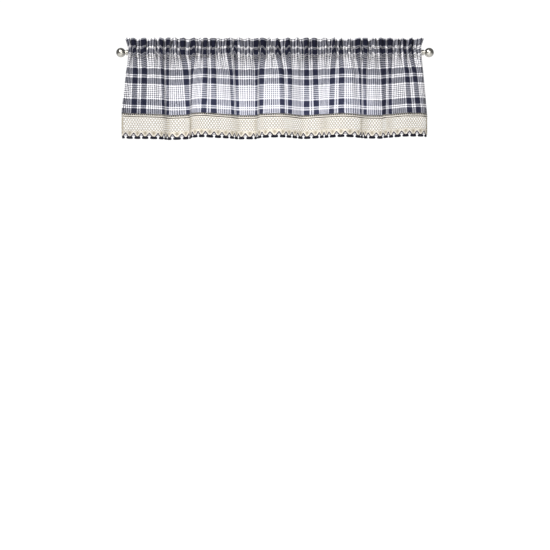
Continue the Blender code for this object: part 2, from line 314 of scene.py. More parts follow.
def hang(flat, height):
    """X and Y of the middle of the cloth, from the upper stitch line down."""
    top = smooth_curve(FLAT, AT_ROD, flat)
    middle = smooth_curve(FLAT, AT_MIDDLE, flat)
    hem = smooth_curve(FLAT, AT_HEM, flat)
    upper = np.clip(height / MIDDLE_HEIGHT, 0, 1)
    lower = np.clip((height - MIDDLE_HEIGHT) / (HEM_HEIGHT - MIDDLE_HEIGHT), 0, 1)
    x = top + (middle - top) * upper + (hem - middle) * lower
    x = x + CRIMP_SHIFT * smooth_curve(*SHIFTS, flat) * crimp_fade(height)
    x = x + pinch(flat) * pucker_fade(height)
    below = np.maximum(LOWER_STITCH - height, 0)
    drop = np.minimum(below / (LOWER_STITCH - FULL_DEPTH_HEIGHT), 1)
    opened = QUICK_SHARE * (1 - np.exp(-below / QUICK_DROP)) + (1 - QUICK_SHARE) * drop**2
    y = smooth_curve(FLAT, HEM_DEPTH, flat) * opened
    y = y - GATHER_DEPTH * smooth_curve(*GATHERS, flat) * np.exp(-below / GATHER_FADE)
    ripple = smooth_curve(*RIPPLES, flat + RIPPLE_SLANT * height)
    y = y - RIPPLE_DEPTH * ripple * np.sin(math.pi * drop**RIPPLE_BIAS) ** 2
    return x, y - puckers(flat, height)


def on_cloth(flat, height, proud):
    """Points that stand proud, to the front, of the middle of the hanging cloth."""
    flat, height = np.broadcast_arrays(flat, height)
    step = 1.2 * MM
    x, y = hang(flat, height)
    x0, y0 = hang(np.maximum(flat - step, 0), height)
    x1, y1 = hang(np.minimum(flat + step, FLAT_WIDTH), height)
    length = np.hypot(x1 - x0, y1 - y0)
    across, out = (y1 - y0) / length, (x1 - x0) / length
    level = height + crimp_drop(flat, height)
    return np.stack([x + proud * across, y - proud * out, level], -1)


def border_shift(flat):
    """The lace border hangs a little lower towards its left end."""
    share = flat / FLAT_WIDTH
    return -BORDER_DROP - LEFT_DROP * (1 - share) ** 2 + RIGHT_LIFT * share


def on_border(flat, height, proud):
    """The same below the lace heading, with the border's own drop towards the left."""
    share = np.clip((LACE_HEADING_BOTTOM - height) / (LACE_HEADING_BOTTOM - NOTCH), 0, 1)
    return on_cloth(flat, height + border_shift(flat) * share, proud)


# ---- meshes ----
def new_object(name, data):
    made = bpy.data.objects.new(name, data)
    bpy.context.scene.collection.objects.link(made)
    return made


def make_piece(name, points, faces, surface, stands_for=(), flat_map=None, tint=None):
    """A smooth-shaded object that rides on the root body."""
    mesh = bpy.data.meshes.new(name)
    mesh.from_pydata(points.tolist(), [], as_lists(faces))
    if flat_map is not None:
        layer = mesh.uv_layers.new(name="flat")
        corners = np.empty(len(mesh.loops), np.int32)
        mesh.loops.foreach_get("vertex_index", corners)
        layer.data.foreach_set("uv", np.asarray(flat_map, np.float32)[corners].ravel())
    if tint is not None:
        attribute = mesh.attributes.new("tint", "FLOAT", "POINT")
        attribute.data.foreach_set("value", np.asarray(tint, np.float32))
    mesh.materials.append(surface)
    bm = bmesh.new()
    bm.from_mesh(mesh)
    bmesh.ops.recalc_face_normals(bm, faces=bm.faces[:])
    bm.to_mesh(mesh)
    bm.free()
    mesh.shade_smooth()
    made = new_object(name, mesh)
    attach(made, "root")
    if stands_for:
        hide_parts(*stands_for)
    return made


def grid_faces(rows, columns):
    """Quads over a grid of points that is numbered row by row."""
    row, column = np.meshgrid(np.arange(rows - 1), np.arange(columns - 1), indexing="ij")
    corner = (row * columns + column).ravel()
    return np.stack([corner, corner + 1, corner + columns + 1, corner + columns], 1)


def loop_faces(front, back):
    """Quads that join two closed loops of point numbers."""
    return np.stack([front, np.roll(front, -1), np.roll(back, -1), back], 1)


def side_faces(rings):
    """Quads between neighbouring rings of point numbers."""
    return np.concatenate([loop_faces(front, back) for front, back in zip(rings, rings[1:])])


def unit(vectors):
    return vectors / np.maximum(np.linalg.norm(vectors, axis=-1, keepdims=True), 1e-12)


def thick_sheet(points, thickness):
    """Front points, back points and the faces of a closed sheet around a grid of points."""
    rows, columns = points.shape[:2]
    normals = unit(np.cross(np.gradient(points, axis=0), np.gradient(points, axis=1)))
    offset = normals * thickness / 2
    count = rows * columns
    number = np.arange(count).reshape(rows, columns)
    rim = np.concatenate([number[0], number[1:, -1], number[-1, -2::-1], number[-2:0:-1, 0]])
    quads = grid_faces(rows, columns)
    faces = [quads[:, ::-1], quads + count, loop_faces(rim, rim + count)]
    return np.stack([points + offset, points - offset]).reshape(-1, 3), np.concatenate(faces)


def distance_along(path):
    steps = np.linalg.norm(np.diff(path, axis=0), axis=1)
    return np.concatenate([[0], np.cumsum(steps)])


def tube(path, outward, radii, sides, squash=1.0, ply=0.0, ply_length=1.0):
    """Points and quads of a tube with closed ends; outward points to the front all along it.

    squash flattens it from front to back, and ply raises a twisted ridge on it.
    """
    along = unit(np.gradient(path, axis=0))
    across = unit(np.cross(along, outward))
    front = np.cross(across, along)
    travelled = distance_along(path)
    turn = np.arange(sides) * math.tau / sides
    twist = 1 + ply * np.cos(2 * turn - math.tau * travelled[:, None] / ply_length)
    reach = radii[:, None] * twist
    points = (
        path[:, None]
        + across[:, None] * (reach * np.cos(turn))[..., None]
        + front[:, None] * (reach * np.sin(turn) * squash)[..., None]
    )
    ring = np.arange(len(path) * sides).reshape(len(path), sides)
    faces = [side_faces(ring)]
    for end, order in ((0, 1), (-1, -1)):
        cap = ring[end][::order]
        first = np.full(sides // 2 - 1, cap[0])
        faces.append(np.stack([first, cap[1:-2:2], cap[2:-1:2], cap[3::2]], 1))
    return points.reshape(-1, 3), np.concatenate(faces)


def as_lists(faces):
    """Faces as plain lists, which may differ in their number of corners."""
    return faces.tolist() if isinstance(faces, np.ndarray) else faces


def joined(parts):
    """Several (points, faces) as one."""
    points, faces, count = [], [], 0
    for some_points, some_faces in parts:
        points.append(some_points)
        faces += [[corner + count for corner in face] for face in as_lists(some_faces)]
        count += len(some_points)
    return np.concatenate(points), faces


# ---- materials ----
class Nodes:
    """A short way to write a material's node tree."""

    def __init__(self, name):
        self.material = bpy.data.materials.new(name)
        self.material.use_nodes = True
        self.tree = self.material.node_tree
        self.shader = self.tree.nodes["Principled BSDF"]

    def feed(self, socket, value):
        """Link a socket to another node's output, or set its own value."""
        if isinstance(value, bpy.types.NodeSocket):
            self.tree.links.new(value, socket)
        else:
            socket.default_value = value

    def add(self, kind, inputs=(), **settings):
        node = self.tree.nodes.new(kind)
        for key, value in settings.items():
            setattr(node, key, value)
        for key, value in dict(inputs).items():
            self.feed(node.inputs[key], value)
        return node

    def maths(self, operation, *values):
        node = self.add("ShaderNodeMath", dict(enumerate(values)), operation=operation)
        return node.outputs[0]

    def times(self, first, second):
        return self.maths("MULTIPLY", first, second)

    def flat_map(self):
        """The cloth's flat coordinates, in metres."""
        coordinates = self.add("ShaderNodeUVMap", uv_map="flat").outputs[0]
        split = self.add("ShaderNodeSeparateXYZ", {0: coordinates})
        return coordinates, split.outputs[0], split.outputs[1]

    def ramp(self, factor, stops, interpolation="LINEAR"):
        node = self.add("ShaderNodeValToRGB", {0: factor})
        node.color_ramp.interpolation = interpolation
        elements = node.color_ramp.elements
        while len(elements) > 1:
            elements.remove(elements[-1])
        elements[0].position = stops[0][0]
        for position, _ in stops[1:]:
            elements.new(position)
        for element, (_, colour) in zip(elements, stops):
            element.color = (*colour, 1)
        return node.outputs[0]

    def noise(self, vector, scale, detail):
        inputs = {"Vector": vector, "Scale": scale, "Detail": detail}
        return self.add("ShaderNodeTexNoise", inputs).outputs[0]

    def grain(self, vector, scales, detail):
        """Noise with its own scale each way."""
        stretched = self.add("ShaderNodeMapping", {"Vector": vector, "Scale": scales})
        return self.noise(stretched.outputs[0], 1.0, detail)

    def shaded(self, colour, shade):
        """One colour times another; the numbers are the mix node's sockets for colours."""
        inputs = {0: 1.0, 6: colour, 7: shade}
        node = self.add("ShaderNodeMix", inputs, data_type="RGBA", blend_type="MULTIPLY")
        return node.outputs[2]

    def bump(self, height, strength, distance):
        inputs = {"Height": height, "Strength": strength, "Distance": distance}
        return self.add("ShaderNodeBump", inputs).outputs[0]

    def set(self, **values):
        """Set the Principled shader's sockets; an underscore in a name stands for a space."""
        for key, value in values.items():
            self.feed(self.shader.inputs[key.replace("_", " ")], value)

    def let_light_through(self, share, colour, normal):
        """Mix in a share of light that comes through the cloth from its other side."""
        inner = self.add("ShaderNodeBsdfTranslucent", {"Color": colour, "Normal": normal})
        mix = self.add("ShaderNodeMixShader", {0: share})
        self.tree.links.new(self.shader.outputs[0], mix.inputs[1])
        self.tree.links.new(inner.outputs[0], mix.inputs[2])
        self.tree.links.new(mix.outputs[0], self.tree.nodes["Material Output"].inputs[0])


def grey(value):
    return (value, value, value)


# The plaid: one repeat each way is navy, a gap with one thin line, navy, and a fine check.
Sett = namedtuple("Sett", "start repeat navy gap")
WARP = Sett(35.4 * MM, 118 * MM, 22.2 * MM, 14.3 * MM)
WEFT = Sett(4.9 * MM, 109.1 * MM, 22.2 * MM, 11.3 * MM)
CHECK_LINES = 7
LINE_WIDTH = 3.1 * MM
YARN_PITCH = 0.9 * MM
WARP_GRAIN = (1400, 25, 1)  # streaks that run down the cloth
WEFT_GRAIN = (25, 1400, 1)
SLUB_SHADE = 0.10
SLUB_HEIGHT = 1.2  # of the weave's own height
STRIPE_COLOURS = [
    (0.0, (0.88, 0.868, 0.874)),
    (0.42, (0.255, 0.256, 0.273)),
    (0.5, (0.182, 0.184, 0.203)),
    (0.93, (0.030, 0.031, 0.050)),
    (1.0, (0.009, 0.010, 0.022)),
]
THROUGH_COLOURS = [  # of the light that comes through the cloth
    (0.0, grey(0.38)),
    (0.5, (0.93, 0.935, 0.985)),
    (1.0, (0.21, 0.22, 0.30)),
]
THROUGH_SHARES = [(0.0, grey(0.27)), (0.45, grey(0.5))]  # how much of the light comes through


def stripes(nodes, distance, sett):
    """1 in the navy stripes and thin lines, 0 on the ground between them."""
    moved = nodes.maths("SUBTRACT", distance, sett.start)
    share = nodes.maths("FLOORED_MODULO", nodes.maths("DIVIDE", moved, sett.repeat), 1.0)
    second = sett.navy + sett.gap
    check = second + sett.navy
    stops = [(0, 1), (sett.navy, 0), (second, 1), (check, 0)]
    spacing = (sett.repeat - check) / (CHECK_LINES + 1)
    lines = [sett.navy + sett.gap / 2]
    lines += [check + spacing * (i + 1) for i in range(CHECK_LINES)]
    for line in lines:
        stops += [(line - LINE_WIDTH / 2, 1), (line + LINE_WIDTH / 2, 0)]
    stops = [(place / sett.repeat, grey(value)) for place, value in sorted(stops)]
    return nodes.ramp(share, stops, "CONSTANT")


def plaid_cloth():
    nodes = Nodes("woven_plaid")
    vector, across, down = nodes.flat_map()
    warp = stripes(nodes, across, WARP)
    weft = stripes(nodes, down, WEFT)
    warp_yarn = nodes.grain(vector, WARP_GRAIN, detail=3.0)
    weft_yarn = nodes.grain(vector, WEFT_GRAIN, detail=3.0)
    cover = nodes.times(nodes.maths("ADD", warp, weft), 0.5)
    slub = nodes.maths("SUBTRACT", nodes.maths("ADD", warp_yarn, weft_yarn), 1.0)
    cover = nodes.maths("ADD", cover, nodes.times(slub, SLUB_SHADE))
    colour = nodes.ramp(cover, STRIPE_COLOURS)
    turns = math.tau / YARN_PITCH
    rib = nodes.maths("SINE", nodes.times(across, turns))
    other = nodes.maths("SINE", nodes.times(down, turns))
    weave = nodes.times(rib, other)
    height = nodes.maths("ADD", weave, nodes.times(slub, SLUB_HEIGHT))
    bump = nodes.bump(height, strength=0.35, distance=0.12 * MM)
    nodes.set(Base_Color=colour, Roughness=0.85, Normal=bump)
    nodes.set(Sheen_Weight=0.03, Sheen_Roughness=0.5, Specular_IOR_Level=0.08)
    share = nodes.ramp(cover, THROUGH_SHARES)
    nodes.let_light_through(share, nodes.ramp(cover, THROUGH_COLOURS), bump)
    return nodes.material


CHAIN_WIDTH = 2.4 * MM
CHAIN_HEIGHT = 2.8 * MM
CHAIN_LEAN = 1.4
FIBRE_GRAIN = (900, 500, 1)
SOIL_SHARE = 0.4  # of the soil in the shading; the fibre has the rest
SOIL_SHADES = [(0.3, grey(0.80)), (0.6, grey(1.0))]
# painted shade: the thread's colour darkens in the grooves between the stitches
GROOVE_PAINTED_SHADE = [(0.0, grey(0.62)), (0.45, grey(1.0))]
FIBRE_HEIGHT = 0.3  # of a stitch's own height
IVORY = (0.81, 0.77, 0.695)
CREAM = (0.50, 0.45, 0.36)
TAN = (0.38, 0.335, 0.26)
PALE_PLUM = (0.20, 0.175, 0.20)
NAVY = (0.006, 0.006, 0.012)
# painted shade: the dark colour of the cords along the lace heading
PAINTED_SHADE_TAUPE = (0.05, 0.045, 0.04)
TAUPE = (0.11, 0.10, 0.09)


def chain_stitches(nodes, across, down):
    """Columns of V-shaped stitches: 1 on top of the yarn, 0 in the grooves."""
    column = nodes.maths("FRACT", nodes.maths("DIVIDE", across, CHAIN_WIDTH))
    side = nodes.maths("ABSOLUTE", nodes.maths("SUBTRACT", column, 0.5))
    lean = nodes.times(side, CHAIN_LEAN)
    row = nodes.maths("ADD", nodes.maths("DIVIDE", down, CHAIN_HEIGHT), lean)
    strand = nodes.maths("ABSOLUTE", nodes.maths("SINE", nodes.times(row, math.pi)))
    groove = nodes.maths("ABSOLUTE", nodes.maths("SINE", nodes.times(column, math.tau)))
    return nodes.times(strand, nodes.maths("POWER", groove, 0.5))


def crochet(name, colours, gloss, light_through=0.0):
    """Twisted thread: the tint attribute runs through the colours from 0 to 1."""
    nodes = Nodes(name)
    vector, across, down = nodes.flat_map()
    stitches = chain_stitches(nodes, across, down)
    tint = nodes.add("ShaderNodeAttribute", attribute_name="tint").outputs["Fac"]
    colour = nodes.ramp(tint, list(zip(np.linspace(0, 1, len(colours)), colours)))
    soil = nodes.noise(vector, scale=60.0, detail=3.0)
    fibre = nodes.grain(vector, FIBRE_GRAIN, detail=2.0)
    soiled = nodes.times(soil, SOIL_SHARE)
    shade = nodes.maths("ADD", soiled, nodes.times(fibre, 1 - SOIL_SHARE))
    colour = nodes.shaded(colour, nodes.ramp(shade, SOIL_SHADES))
    # painted shade in the grooves between the stitches
    colour = nodes.shaded(colour, nodes.ramp(stitches, GROOVE_PAINTED_SHADE))
    height = nodes.maths("ADD", stitches, nodes.times(fibre, FIBRE_HEIGHT))
    bump = nodes.bump(height, strength=0.8, distance=0.5 * MM)
    nodes.set(Base_Color=colour, Roughness=0.8, Normal=bump)
    nodes.set(Sheen_Weight=gloss / 3, Sheen_Roughness=0.5, Specular_IOR_Level=gloss)
    if light_through:
        nodes.let_light_through(light_through, colour, bump)
    return nodes.material


NICKEL_GRAIN = (60, 2500, 2500)  # fine scratches along the rod
NICKEL_SHADES = [(0.3, (0.31, 0.30, 0.275)), (0.7, (0.395, 0.385, 0.35))]
NICKEL_ROUGHNESS = {"To Min": 0.22, "To Max": 0.36}


def satin_nickel():
    nodes = Nodes("satin_nickel_finish")
    place = nodes.add("ShaderNodeTexCoord").outputs["Object"]
    grain = nodes.grain(place, NICKEL_GRAIN, detail=2.0)
    cloud = nodes.noise(place, scale=45.0, detail=3.0)
    colour = nodes.ramp(cloud, NICKEL_SHADES)
    rough = nodes.add("ShaderNodeMapRange", {"Value": grain, **NICKEL_ROUGHNESS}).outputs[0]
    nodes.set(Base_Color=colour, Metallic=1.0, Roughness=rough)
    nodes.set(Normal=nodes.bump(grain, strength=0.15, distance=0.05 * MM))
    return nodes.material


# ---- the woven cloth ----
HEADER_FLAT = 31 * MM  # flat lengths along the cloth, down from the header's top fold
POCKET_FLAT = 42.4 * MM
FOLD_DROP = 1.1 * MM

# How many columns and rows of points: the rows follow the cloth up its front and down its back.
FLAT_COLUMNS = np.linspace(0, FLAT_WIDTH, 720)
LOWER_ROWS = 13
UPPER_START = -70 * MM  # where the rows lie closer, up to the lower stitch line
UPPER_ROWS = 15
FRONT_POCKET_ROWS = 13
FRONT_HEADER_ROWS = 10
FOLD_TURNS = (math.pi / 4, math.pi / 2, 3 * math.pi / 4)
BACK_HEADER_ROWS = 5
BACK_POCKET_ROWS = 9
TAIL_ROWS = 3
HEM_COLUMNS = (1 * MM, 4.5 * MM, 8 * MM, SIDE_HEM)  # places across a turned side hem
POCKET_SAMPLES = 181


def layer_half(flat, share):
    """Half the distance between the header's layers: share is 0 at its stitches, 1 at its top."""
    near_end = np.exp(-np.minimum(flat, FLAT_WIDTH - flat) / SIDE_HEM)
    sewn = STITCHED_HALF + (END_HALF - STITCHED_HALF) * near_end
    return sewn + (OPEN_HALF - sewn) * math.sin(math.pi / 2 * share)


def body_row(flat, height):
    """The front layer below the pocket, pushed forward a little where the back layer is sewn on."""
    sewn = math.exp(-(LOWER_STITCH - height) / SEWN_FADE)
    points = on_cloth(flat, height, STITCHED_HALF * sewn)
    return points, (LOWER_STITCH - height) / BODY_TAKE_UP + HEADER_FLAT + POCKET_FLAT


def pocket_shape(turn):
    """Height, and how far out of its full bulge a pocket wall stands there."""
    middle, half = (UPPER_STITCH + LOWER_STITCH) / 2, (UPPER_STITCH - LOWER_STITCH) / 2
    return middle + half * np.cos(turn), np.maximum(np.sin(turn), 0) ** POCKET_ROUNDNESS


def pocket_travel(turn):
    """The share of a pocket wall's length that lies above turn."""
    turns = np.linspace(0, math.pi, POCKET_SAMPLES)
    height, share = pocket_shape(turns)
    bulge = (ROD_RADIUS + POCKET_EASE + POCKET_SLACK + SHEET) * share
    travelled = np.cumsum(np.hypot(np.diff(height), np.diff(bulge)))
    return np.interp(turn, turns[1:], travelled / travelled[-1])


def pocket_row(flat, turn, side):
    """One wall of the rod pocket: turn is 0 at the upper stitch line, pi at the lower one."""
    height, share = pocket_shape(turn)
    slack = POCKET_SLACK * np.maximum(1 - side * smooth_curve(*GATHERS, flat), 0)
    bulge = ROD_RADIUS + POCKET_EASE + slack + SHEET
    sewn = layer_half(flat, 0)
    x, y = hang(flat, height)
    small = puckers(flat, height)
    y = (y + small + side * sewn) * (1 - share) + side * bulge * share - small
    level = height + crimp_drop(flat, height)
    clear = ROD_RADIUS + POCKET_CLEAR + SHEET / 2
    y = side * np.maximum(side * y, np.sqrt(np.maximum(clear**2 - level**2, 0)))
    points = np.stack([x, y, level], -1)
    return points, -side * (HEADER_FLAT + POCKET_FLAT * pocket_travel(turn))


def header_row(flat, share, side):
    """One layer of the header: share is 0 at the upper stitch line, 1 at the top fold."""
    x, y = hang(flat, UPPER_STITCH)
    lean = END_FLARE * (2 * flat / FLAT_WIDTH - 1) ** END_FLARE_POWER
    small = puckers(flat, UPPER_STITCH)
    fade = math.exp(-share * (HEADER_TOP - UPPER_STITCH) / PUCKER_FADE_UP)
    gathers = (y + small) * (1 + (HEADER_FLARE - 1) * share)
    ruffle = RUFFLE_DEPTH * smooth_curve(*RUFFLES, flat) * math.sin(math.pi / 2 * share)
    y = gathers - small * fade - ruffle + side * layer_half(flat, share)
    top = HEADER_TOP - FOLD_DROP + HEADER_LIFT * smooth_curve(*GATHERS, flat)
    height = UPPER_STITCH + (top - UPPER_STITCH) * share
    height = height + crimp_drop(flat, height)
    lean = lean + LEAN_SHIFT * smooth_curve(*LEANS, flat)
    points = np.stack([x + lean * share, y, height], -1)
    return points, -side * HEADER_FLAT * (1 - share)


def cloth_rows(flat):
    """The cloth from its lower edge, up the front, over the top and down the back.

    Returns a grid of points and each row's distance down the flat cloth from the header's top.
    """
    lower = np.linspace(CLOTH_END, UPPER_START, LOWER_ROWS, endpoint=False)
    upper = np.linspace(UPPER_START, LOWER_STITCH, UPPER_ROWS)
    rows = [body_row(flat, height) for height in (*lower, *upper)]
    turns = np.linspace(math.pi, 0, FRONT_POCKET_ROWS)[1:-1]
    rows += [pocket_row(flat, turn, -1) for turn in turns]
    rows += [header_row(flat, share, -1) for share in np.linspace(0, 1, FRONT_HEADER_ROWS)]
    fold_points, _ = header_row(flat, 1, -1)
    half = layer_half(flat, 1)
    for turn in FOLD_TURNS:
        back, up = half * (1 - math.cos(turn)), FOLD_DROP * math.sin(turn)
        lift = np.stack([0 * half, back, up + 0 * half], -1)
        rows.append((fold_points + lift, 0.0))
    rows += [header_row(flat, share, 1) for share in np.linspace(1, 0, BACK_HEADER_ROWS)]
    turns = np.linspace(0, math.pi, BACK_POCKET_ROWS)[1:-1]
    rows += [pocket_row(flat, turn, 1) for turn in turns]
    for height in np.linspace(LOWER_STITCH, TAIL_END, TAIL_ROWS):
        share = (LOWER_STITCH - height) / (LOWER_STITCH - TAIL_END)
        points = on_cloth(flat, height, -STITCHED_HALF - (TAIL_OFFSET - STITCHED_HALF) * share)
        rows.append((points, -(HEADER_FLAT + POCKET_FLAT + LOWER_STITCH - height)))
    points, down = zip(*rows)
    return np.stack(points), np.array(down)


def turned_hem(place):
    """Columns of points where a side hem lies behind the cloth at these flat distances."""
    cloth, _ = cloth_rows(place)
    near, _ = cloth_rows(place + 0.5 * MM)
    inward = unit(np.cross(np.gradient(cloth, axis=0), near - cloth))
    return cloth + inward * SIDE_HEM_GAP


def make_cloth(surface):
    points, down = cloth_rows(FLAT_COLUMNS)
    hem = np.array(HEM_COLUMNS)
    left, right = turned_hem(hem), turned_hem(FLAT_WIDTH - hem)
    points = np.concatenate([left[:, ::-1], points, right], axis=1)
    across = np.concatenate([-hem[::-1], FLAT_COLUMNS, FLAT_WIDTH + hem])
    skew = smooth_curve(*(np.array(SKEWS) * MM).T, across)
    down = down[:, None] - skew + slip(np.clip(across, 0, FLAT_WIDTH), points[..., 2])
    vertices, faces = thick_sheet(points, SHEET)
    flat_map = np.stack([np.broadcast_to(across, down.shape), down], -1).reshape(-1, 2)
    return make_piece(
        "valance_cloth", vertices, faces, surface, ["plaid_panel"],
        np.concatenate([flat_map, flat_map]),
    )


# ---- the lace ----
class LaceSheet:
    """Collects the lace as flat points: distance along, height, half thickness and tint."""

    def __init__(self):
        self.points, self.faces, self.count = [], [], 0

    def add(self, flat, height, half, tint, faces):
        columns = np.broadcast_arrays(flat, height, half, tint)
        self.points.append(np.stack(columns, -1).reshape(-1, 4))
        self.faces.append(faces + self.count)
        self.count += columns[0].size

    def ring_cells(self, centres, outline, halves, hole):
        """Rings of thread around holes; outline is the cell's border, shared with its neighbours."""
        rim = outline / np.hypot(*(outline / hole).T)[:, None]
        places = centres[None, :, None] + np.stack([outline, rim])[:, None]
        half = np.stack([halves, 0 * halves])[:, None]
        number = np.arange(places[..., 0].size).reshape(places.shape[:3])
        faces = [loop_faces(front, back) for front, back in zip(*number)]
        self.add(places[..., 0], places[..., 1], half, 0.0, np.concatenate(faces))

    def band(self, flat, *rows):
        """A solid strip; each of heights, halves and tints has a value or an array for each row."""
        rows = [np.stack([np.broadcast_to(row, flat.shape) for row in values]) for values in rows]
        self.add(flat, *rows, grid_faces(*rows[0].shape))

    def build(self):
        """Points, polygons, flat map and tint of the sheet's front and back."""
        points, faces = np.concatenate(self.points), np.concatenate(self.faces)
        flat, height, half, tint = points.T
        edge = 0.01 * MM
        inside = (flat > edge) & (flat < FLAT_WIDTH - edge)
        flat, half = np.clip(flat, 0, FLAT_WIDTH), half * inside
        front = on_border(flat, height, LACE_PROUD + half)
        back = on_border(flat, height, LACE_PROUD - half)
        vertices = np.concatenate([front, back])
        flat_map = np.concatenate([np.stack([flat, height], 1)] * 2)
        faces = np.concatenate([faces, faces[:, ::-1] + len(flat)])
        vertices, faces, kept = merged(vertices, faces)
        return vertices, faces, flat_map[kept], np.concatenate([tint, tint])[kept]


def yarn(line, sides, squash, ply=0.0, ply_length=1.0, proud=LACE_PROUD):
    """A tube on the border; line has a row of flat, height, radius and tint for each point."""
    flat, height, radius, tint = line.T
    path = on_border(flat, height, proud)
    outward = on_border(flat, height, proud + MM) - path
    points, faces = tube(path, outward, radius, sides, squash, ply, ply_length)
    return points, faces, tube_map(path, sides), np.repeat(tint, sides)


def tube_map(path, sides):
    """One column of stitches on the front half of a tube and one on its back half."""
    travelled = distance_along(path)
    around = CHAIN_WIDTH * (1 - np.abs(2 * np.arange(sides) / sides - 1))
    return np.stack([np.tile(around, len(path)), np.repeat(travelled, sides)], 1)


def net_yarns():
    """Wavy yarns; each meets the next one at its crests."""
    parts = []
    flat = np.linspace(0, FLAT_WIDTH, round(FLAT_WIDTH / CELL * NET_STEPS))
    for row in range(NET_ROWS):
        wave = np.cos(math.tau * (flat - FIRST_NOTCH) / CELL) * (-1) ** row
        height = NET_TOP - NET_ROW * (row + 0.5) + NET_WAVE * wave
        radius = NET_YARN * (1 + NET_KNOT * wave**NET_KNOT_SHARPNESS)
        line = np.stack([flat, height, radius, np.full(len(flat), NET_TINT)], 1)
        parts.append(yarn(line, NET_SIDES, NET_SQUASH))
    return parts


def make_mesh_piece(name, parts, surface, stands_for):
    """One object from parts that each hold points, polygons, a flat map and a tint."""
    points, faces = joined([part[:2] for part in parts])
    flat_map = np.concatenate([part[2] for part in parts])
    tint = np.concatenate([part[3] for part in parts])
    return make_piece(name, points, faces, surface, stands_for, flat_map, tint)


def merged(vertices, faces, distance=0.02 * MM):
    """Weld points that lie together, and drop the faces and corners that vanish."""
    keys = np.round(vertices / distance).astype(np.int64)
    _, kept, number = np.unique(keys, axis=0, return_index=True, return_inverse=True)
    number = number.ravel()
    polygons = set()
    for face in number[faces].tolist():
        corners = [corner for i, corner in enumerate(face) if corner != face[i - 1]]
        if len(set(corners)) == len(corners) and len(corners) > 2:
            polygons.add(tuple(corners))
    return vertices[kept], sorted(polygons), kept


# The border of a ladder cell, in quarter cells and half heights from its middle.
LADDER_CELL = [
    (-1.5, 0), (-1.5, 1), (-0.5, 1), (0.5, 1), (1.5, 1),
    (1.5, 0), (1.5, -1), (0.5, -1), (-0.5, -1), (-1.5, -1),
]


def add_ladder(lace):
    """The small holes along the top of the lace heading."""
    cell = np.array(LADDER_CELL)
    half_height = (LADDER_TOP - LADDER_BOTTOM) / 2
    outline = cell * (QUARTER, half_height)
    halves = np.where(cell[:, 1] > 0, 0, THREAD_HALF)
    over_hole = (cell[:, 1] > 0) & (np.abs(cell[:, 0]) < 1)
    outline[over_hole, 1] += LADDER_CREST
    pitch = 3 * QUARTER
    along = np.arange(FIRST_NOTCH - TOOTH_PITCH + pitch / 2, FLAT_WIDTH + pitch / 3, pitch)
    along = along[along > -pitch / 2]
    centres = np.stack([along, np.full(len(along), (LADDER_TOP + LADDER_BOTTOM) / 2)], 1)
    hole = (LADDER_HOLE_WIDTH / 2, LADDER_HOLE_HEIGHT / 2)
    lace.ring_cells(centres, outline, halves, hole)


def add_teeth(lace, columns):
    """The solid teeth, each with a darker, thinner diamond in its middle."""
    half = TOOTH_PITCH / 2
    to_tooth = np.abs((columns - FIRST_NOTCH) % TOOTH_PITCH - half)
    slope = np.minimum((half - to_tooth) / (half - TOOTH_TIP_HALF), 1)
    bottom = NOTCH + (TOOTH_TIP - NOTCH) * slope
    shares = np.linspace(1, 0, TOOTH_ROWS)
    heights = [NET_BOTTOM + (bottom - NET_BOTTOM) * share for share in shares]
    middle, reach = (DIAMOND_TOP + DIAMOND_BOTTOM) / 2, (DIAMOND_TOP - DIAMOND_BOTTOM) / 2
    tints, halves = [], []
    for share, height in zip(shares, heights):
        away = to_tooth / DIAMOND_HALF_WIDTH + np.abs(height - middle) / reach
        diamond = np.clip((1 + DIAMOND_BLUR - away) / (2 * DIAMOND_BLUR), 0, 1)
        rim = np.clip(2 - 2 * (height - bottom) / TOOTH_RIM, 0, 1)
        tints.append((TOOTH_TINT + (DIAMOND_TINT - TOOTH_TINT) * diamond) * (1 - rim))
        thickness = TOOTH_THICKNESS - DIAMOND_THINNING * diamond
        halves.append(THREAD_HALF * thickness * (share < 1))
    lace.band(columns, heights, halves, tints)


def make_lace(surface):
    lace = LaceSheet()
    columns = np.arange(FIRST_NOTCH - TOOTH_PITCH, LAST_COLUMN, QUARTER)
    columns = columns[columns > FIRST_COLUMN]
    add_ladder(lace)
    thickness = np.array(BAND_THICKNESS) * THREAD_HALF
    lace.band(columns, BAND_HEIGHTS, thickness, 0 * thickness)
    heights = np.linspace(NET_BOTTOM, NET_TOP, LACE_HEM_ROWS)
    for start in (0, FLAT_WIDTH - LACE_HEM):
        flat = start + np.linspace(0, LACE_HEM, LACE_HEM_COLUMNS)
        lace.band(flat, heights, [THREAD_HALF] * LACE_HEM_ROWS, [HEM_TINT] * LACE_HEM_ROWS)
    add_teeth(lace, columns)
    parts = [lace.build(), *net_yarns()]
    return make_mesh_piece("crochet_lace", parts, surface, ["lace_border"])


# ---- the navy edging ----
YARN_SQUASH = 0.6
YARN_STEP = 1.0 * MM
YARN_SIDES = 8
PLY_LENGTH = 3.4 * MM  # of one turn of the twisted strand
STRAND_PLY = 0.1
BAR_PLY = 0.06

# Thin loops across each notch: how far each reaches to either side, and the height of its ends.
ARCHES = [(4.6 * MM, -284.3 * MM), (7.4 * MM, -288.6 * MM)]
ARCH_RISE = 1.8 * MM
ARCH_RADIUS = 1.1 * MM
ARCH_TINT = 0.15
ARCH_STEP = 1.2 * MM
ARCH_SIDES = 6

# One row for each place along half a scallop or half a bar: its distance from the tooth's middle,
# its height and its radius in millimetres, and its tint.
HALF_SCALLOP = [
    (15.1, -278.6, 2.1, 0.8),
    (12.6, -281.0, 2.0, 0.8),
    (9.6, -284.8, 2.0, 0.85),
    (7.2, -288.4, 2.0, 0.9),
    (4.0, -291.5, 2.0, 1.0),
]
HALF_BAR = [
    (12.0, -294.3, 1.6, 1.0),
    (11.4, -294.4, 3.5, 1.0),
    (9.0, -294.7, 4.4, 1.0),
    (3.0, -294.9, 4.7, 1.0),
]


